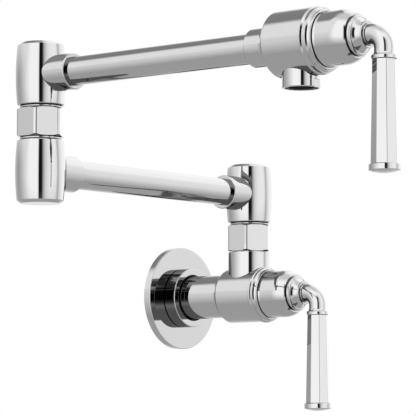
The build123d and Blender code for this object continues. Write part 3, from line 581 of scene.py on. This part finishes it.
# ---------------------------------------------------------------- levers
def lever(name, prefix, body, place):
    """Hub and bent neck, collar, eight-sided grip and end cap."""
    middle = (HUB_RING_R - HUB_RING_ROUND, HUB_RING_END - HUB_RING_ROUND)
    hub = lathe(
        [(0, STEM_HOLE_END), (STEM_HOLE_R, STEM_HOLE_END), (STEM_HOLE_R, HUB_SEAT),
         (HUB_RING_R - EDGE, HUB_SEAT), (HUB_RING_R, HUB_SEAT + EDGE)]
        + arc(middle, HUB_RING_ROUND, HUB_RING_ROUND, 0, 90, 12)
        + bow((12.6, HUB_RING_END), (HUB_NECK_R, HUB_NECK_END), HUB_NECK_TAPER, hollow=True, count=30)
        + soften([(HUB_NECK_R, HUB_NECK_END), (HUB_BEAD_R, HUB_NECK_END), (HUB_BEAD_R, HUB_BEAD_END, EDGE),
                  (HUB_FOOT_R, HUB_BEAD_END), (HUB_FOOT_R, HUB_FOOT_END, EDGE), (0, HUB_FOOT_END)],
                 closed=False)[1:])
    # the neck's path: (middle, direction, radius) from the hub through the bend to the flare and the tang
    path = [((0, 0, reach), (0, 0, 1), NECK_R) for reach in (60.3, 61.0, BEND_START)]
    for i in range(33):
        angle = math.radians(90 * i / 32)
        middle = (0, -BEND_R * (1 - math.cos(angle)), BEND_START + BEND_R * math.sin(angle))
        path.append((middle, (0, -math.sin(angle), math.cos(angle)), NECK_R))
    for drop, radius in ((13.4, NECK_R), (14.0, 7.22), (14.7, 7.5), (15.2, 7.8), (15.5, 8.0), (15.5, TANG_R),
                         (29.5, TANG_R)):
        path.append(((0, -drop, LEVER_AXIS), (0, -1, 0), radius))
    rings = []
    for middle, direction, radius in path:
        side = Vector((1, 0, 0))
        up = Vector(direction).cross(side)
        rings.append([tuple(Vector(middle) + side * radius * math.cos(2 * math.pi * k / 96)
                            + up * radius * math.sin(2 * math.pi * k / 96)) for k in range(96)])
    front = place @ FACING
    piece(name + " neck", [(hub, front), (loops(rings), front)], prefix + "_neck", body)

    down = place @ at(0, -LEVER_AXIS, 0)
    collar = lathe(soften([(5.1, GRIP_TOP), (LEVER_COLLAR_R, GRIP_TOP, EDGE),
                           (LEVER_COLLAR_R, LEVER_COLLAR_TOP, 1.0), (5.1, LEVER_COLLAR_TOP)], count=8))
    piece(name + " collar", [(collar, down)], prefix + "_collar", body)

    grip = []
    for z, radius in ((GRIP_END, GRIP_END_R), (GRIP_TOP, GRIP_TOP_R)):
        grip.append([(radius * math.cos(math.radians(45 * k)), radius * math.sin(math.radians(45 * k)), z)
                     for k in range(8)])
    piece(name + " grip", [(loops(grip), down)], prefix + "_grip", body, bevel=0.3)

    face = END_CAP_R - CORNER
    swell = (face ** 2 + END_CAP_DOME ** 2) / (2 * END_CAP_DOME)
    reach = math.degrees(math.asin(face / swell))
    plug_top = GRIP_END + 12.0
    points = [(0, plug_top), (TANG_R, plug_top), (TANG_R, GRIP_END), (END_CAP_R - EDGE, GRIP_END),
              (END_CAP_R, GRIP_END - EDGE)]
    points += arc((face, END_CAP_END + CORNER), CORNER, CORNER, 0, -90, 8)
    points += arc((0, END_CAP_END - END_CAP_DOME + swell), swell, swell, -90 + reach, -reach, 14)[1:]
    piece(name + " end cap", [(lathe(points), down)], prefix + "_end_cap", body)


lever("wall lever", "wall_lever", "wall_lever", wall_place)
lever("spout lever", "spout_lever", "spout_lever", spout_place)


# ---------------------------------------------------------------- swivels and arms
def nut():
    """Hexagon nut about Z, top face at zero, rounded corners, with the arcs that a turned chamfer leaves."""
    corner, rounding, face, height, drop = 19.7, 3.4, 17.6, 21.8, 1.3
    flat = corner * math.cos(math.radians(30))
    middle = corner - rounding / math.sin(math.radians(60))
    reach = math.degrees(math.atan2(rounding / 2, middle + rounding * math.cos(math.radians(30))))
    offsets = [reach * k / 6 for k in range(-6, 7)]
    offsets += [reach + (60 - 2 * reach) * k / 16 for k in range(1, 16)]
    spokes = []
    for side in range(6):
        for off in offsets:
            if off <= reach:
                bend = math.radians(off)
                r = middle * math.cos(bend) + math.sqrt(rounding ** 2 - (middle * math.sin(bend)) ** 2)
            else:
                r = flat / math.cos(math.radians(off - 30))
            spokes.append((math.radians(90 + 60 * side + off), r))
    bm = bmesh.new()
    rows = []
    for level in range(8):
        row = []
        for angle, side in spokes:
            inner = min(side, face)
            sunk = max(0.0, (side - face) / (corner - face) * drop)
            r, z = ((STEM_BORE_R, 0), (inner, 0), (side, -sunk), (side, sunk - height), (inner, -height),
                    (13.3, -height), (13.3, -4.6), (STEM_BORE_R, -4.6))[level]
            row.append(bm.verts.new((r * math.cos(angle), r * math.sin(angle), z)))
        rows.append(row)
    for low, high in list(zip(rows, rows[1:])) + [(rows[-1], rows[0])]:
        for i in range(len(spokes)):
            j = (i + 1) % len(spokes)
            bm.faces.new((low[i], low[j], high[j], high[i]))
    bmesh.ops.remove_doubles(bm, verts=bm.verts, dist=1e-5)
    bmesh.ops.recalc_face_normals(bm, faces=bm.faces)
    return bm


def barrel(neck, bore, spigot):
    """Bulged barrel about Z with its neck down, hollow, and its socket along +X."""
    low = BARREL_LOW - neck
    rounding, neck_r, well_r, well_floor = 1.0, 16.4, 13.0, -12.0
    start = BARREL_LOW + rounding
    chord = BARREL_TOP - start
    sphere = (chord ** 2 / 4 + BARREL_SWELL ** 2) / (2 * BARREL_SWELL)
    side = []
    for i in range(41):
        z = start + chord * i / 40
        side.append((BARREL_R - sphere + math.sqrt(sphere ** 2 - (z - start - chord / 2) ** 2), z))
    points = [(bore, low - spigot)]
    if spigot:
        points += [(STEM_R, low - spigot), (STEM_R, low)]
    half = neck / 2
    points += arc((neck_r - half, low + half), half - 0.05, half, -90, 180, 16)
    points += arc((BARREL_END_R - rounding, start), rounding, rounding, -90, 84, 8) + side
    points += [(well_r, BARREL_TOP), (well_r, well_floor), (bore, well_floor)]
    socket = lathe(soften([(9.2, 12.5), (SOCKET_R, 12.5), (SOCKET_R, SOCKET_END, CORNER), (11.1, SOCKET_END),
                           (11.1, 22.0), (9.2, 22.0)], count=8))
    return [(lathe(points), Matrix.Identity(4)), (socket, turn("Y", 90))]


def cap():
    """Chamfered cap with its plug."""
    plug_low, plug_r, face_r = 16.7, 12.9, 15.35
    return lathe(soften([(0, plug_low), (plug_r, plug_low, EDGE), (plug_r, BARREL_TOP),
                         (BARREL_END_R, BARREL_TOP), (face_r, CAP_TOP, EDGE), (0, CAP_TOP)]))


def set_at(parts, place):
    return [(bm, place @ own) for bm, own in parts]


over_wall = at(0, PIVOT_Y, LOWER_Z)
lower = at(ELBOW_X, PIVOT_Y, LOWER_Z) @ turn("X", 180)
upper = at(ELBOW_X, PIVOT_Y, UPPER_Z)
turning = {"neck": 2.15, "bore": 10.6, "spigot": 0}
piece("wall barrel", set_at(barrel(**turning), over_wall @ turn("Z", 180)), "wall_barrel", "lower_arm")
piece("wall barrel cap", [(cap(), over_wall)], "wall_barrel_cap", "lower_arm")
piece("wall swivel nut", [(nut(), at(0, PIVOT_Y, WALL_NUT_TOP))], "wall_swivel_nut", "wall_valve")
piece("elbow lower barrel", set_at(barrel(neck=2.6, bore=STEM_BORE_R, spigot=13.45), lower),
      "elbow_lower_barrel", "lower_arm")
piece("elbow lower cap", [(cap(), lower)], "elbow_lower_cap", "lower_arm")
piece("elbow swivel nut", [(nut(), at(ELBOW_X, PIVOT_Y, ELBOW_NUT_TOP))], "elbow_swivel_nut", "lower_arm")
piece("elbow upper barrel", set_at(barrel(**turning), upper @ turn("Z", -90)),
      "elbow_upper_barrel", "upper_arm")
piece("elbow upper cap", [(cap(), upper)], "elbow_upper_cap", "upper_arm")
lower_tube, upper_tube = tube(TUBE_BORE_R, TUBE_R, LOWER_TUBE_L), tube(TUBE_BORE_R, TUBE_R, UPPER_TUBE_L)
piece("lower arm tube", [(lower_tube, at(ELBOW_X + TUBE_START, PIVOT_Y, LOWER_Z) @ turn("Y", 90))],
      "lower_arm_tube", "lower_arm")
piece("upper arm tube", [(upper_tube, at(ELBOW_X, PIVOT_Y - TUBE_START, UPPER_Z) @ FACING)],
      "upper_arm_tube", "upper_arm")


# ---------------------------------------------------------------- floor, light and camera
floor_mesh = bpy.data.meshes.new("floor")
floor_mesh.from_pydata([(x * FLOOR_HALF, y * FLOOR_HALF, 0) for x, y in ((-1, -1), (1, -1), (1, 1), (-1, 1))],
                       [], [(0, 1, 2, 3)])
floor = bpy.data.objects.new("floor", floor_mesh)
floor.location = (0, 0, FLOOR_Z)
bpy.context.scene.collection.objects.link(floor)
graph, shader, space = material("floor", (0.86, 0.86, 0.86), 0.0, 0.55)
tint(graph, shader, graph.noise(space, 6.0, 3.0), (0.84, 0.84, 0.84), (0.88, 0.88, 0.88))
floor_mesh.materials.append(MATERIALS["floor"])
floor.visible_glossy = False


def studio_world():
    """White for the camera. Reflections see a light tent: pale walls, a gap, a black card, grey below."""
    world = bpy.data.worlds.new("studio")
    bpy.context.scene.world = world
    world.use_nodes = True
    tree = world.node_tree
    tree.nodes.clear()
    g = Graph(tree)
    direction = g.add("ShaderNodeTexCoord").outputs["Generated"]

    def along(axis):
        node = g.add("ShaderNodeVectorMath", operation="DOT_PRODUCT")
        g.wire(direction, node.inputs[0])
        node.inputs[1].default_value = axis
        return node.outputs["Value"]

    ahead = (CAMERA_RIGHT[1], -CAMERA_RIGHT[0], 0.0)     # level, towards the camera
    side, front, height = along(CAMERA_RIGHT), along(ahead), along((0, 0, 1))
    azimuth = g.math("MULTIPLY", g.math("ARCTAN2", side, front), 180 / math.pi)
    elevation = g.math("MULTIPLY", g.math("ARCSINE", height), 180 / math.pi)

    def round_about(stops):
        """A ramp over the azimuth from (degrees, shade) pairs."""
        share = g.math("ADD", g.math("DIVIDE", azimuth, 360.0), 0.5)
        return g.ramp(share, [((degrees + 180) / 360, shade) for degrees, shade in stops])

    wall = round_about([
        (-180, 0.60), (-172, 0.58), (-160, 0.46), (-150, 0.41), (-137, 0.40), (-122, 0.30), (-104, 0.36),
        (-92, 0.46), (-81, 0.57), (-69, 0.68), (-58, 0.79), (-48, 0.88), (-10, 0.88), (40, 0.83), (70, 0.80),
        (79, 0.76), (85, 0.46), (92, 0.48), (98, 0.69), (106, 0.74), (116, 0.86), (168, 0.86), (179, 0.60)])
    card = round_about([
        (-11, 1.0), (-6.5, 0.60), (-5, 0.003), (8, 0.01), (11, 0.12), (16, 0.40), (25, 0.70), (34, 0.84),
        (44, 0.94), (60, 1.0)])
    near = g.math("MULTIPLY", g.spread(elevation, -26.0, -12.0, 0.0, 1.0, True),
                  g.spread(elevation, 34.0, 50.0, 1.0, 0.0, True))
    wall_side = g.math("MULTIPLY", g.spread(azimuth, -75.0, -60.0, 1.0, 0.0, True),
                       g.spread(elevation, 6.0, 20.0, 0.0, 1.0, True))
    wall = g.mix(wall_side, wall, 0.71)
    tent = g.math("MULTIPLY", wall, g.mix(near, 1.0, card))
    gap = g.math("MULTIPLY", g.spread(azimuth, -118.0, -98.0, 1.0, 0.0, True),
                 g.spread(elevation, 14.0, 42.0, 0.0, 1.0, True))
    tent = g.mix(gap, tent, 0.19)
    tent = g.mix(g.spread(elevation, 55.0, 80.0, 0.0, 1.0, True), tent, 0.55)
    sunk = g.math("ADD", elevation, g.math("MULTIPLY", g.math("ABSOLUTE", front), 10.0))
    tent = g.mix(g.spread(sunk, 6.0, -28.0, 0.0, 1.0), tent, 0.31)
    # white where it is seen; reflections of reflections lose light, as they do between real polished pieces
    path = g.add("ShaderNodeLightPath")
    seen = g.math("MAXIMUM", path.outputs["Is Camera Ray"], path.outputs["Is Transmission Ray"])
    again = g.math("POWER", 0.36, g.math("MAXIMUM", g.math("SUBTRACT", path.outputs["Ray Depth"], 2.0), 0.0))
    mirrored = g.math("MULTIPLY", tent, g.mix(path.outputs["Is Glossy Ray"], 1.0,
                                              g.math("MULTIPLY", again, 1 / CHROME)))
    shade = g.mix(seen, mirrored, 1.0)
    background = g.add("ShaderNodeBackground")
    g.wire(shade, background.inputs["Color"])
    output = g.add("ShaderNodeOutputWorld")
    g.wire(background.outputs[0], output.inputs["Surface"])


studio_world()


def softbox(name, place, target, size, power):
    """A large soft lamp aimed at a point. It lights surfaces but doesn't show in reflections."""
    data = bpy.data.lights.new(name, "AREA")
    data.shape = "SQUARE"
    data.size = size
    data.energy = power
    obj = bpy.data.objects.new(name, data)
    obj.location = place
    obj.rotation_euler = (Vector(target) - Vector(place)).to_track_quat("-Z", "Y").to_euler()
    obj.visible_glossy = False
    bpy.context.scene.collection.objects.link(obj)


softbox("key", (-1.6, -1.8, 1.8), (-0.1, -0.2, 0), size=1.6, power=45)
softbox("fill", (1.8, -1.4, 0.9), (-0.1, -0.2, 0), size=1.6, power=22)

camera_data = bpy.data.cameras.new("camera")
camera_data.sensor_width = 36.0
camera_data.lens = LENS
camera_data.clip_end = 50.0
camera = bpy.data.objects.new("camera", camera_data)
view = Matrix((CAMERA_RIGHT, CAMERA_UP, CAMERA_BACK)).transposed().to_4x4()
view.translation = CAMERA_AT
camera.matrix_world = view
bpy.context.scene.collection.objects.link(camera)
bpy.context.scene.camera = camera
bpy.context.scene.view_settings.view_transform = "Standard"
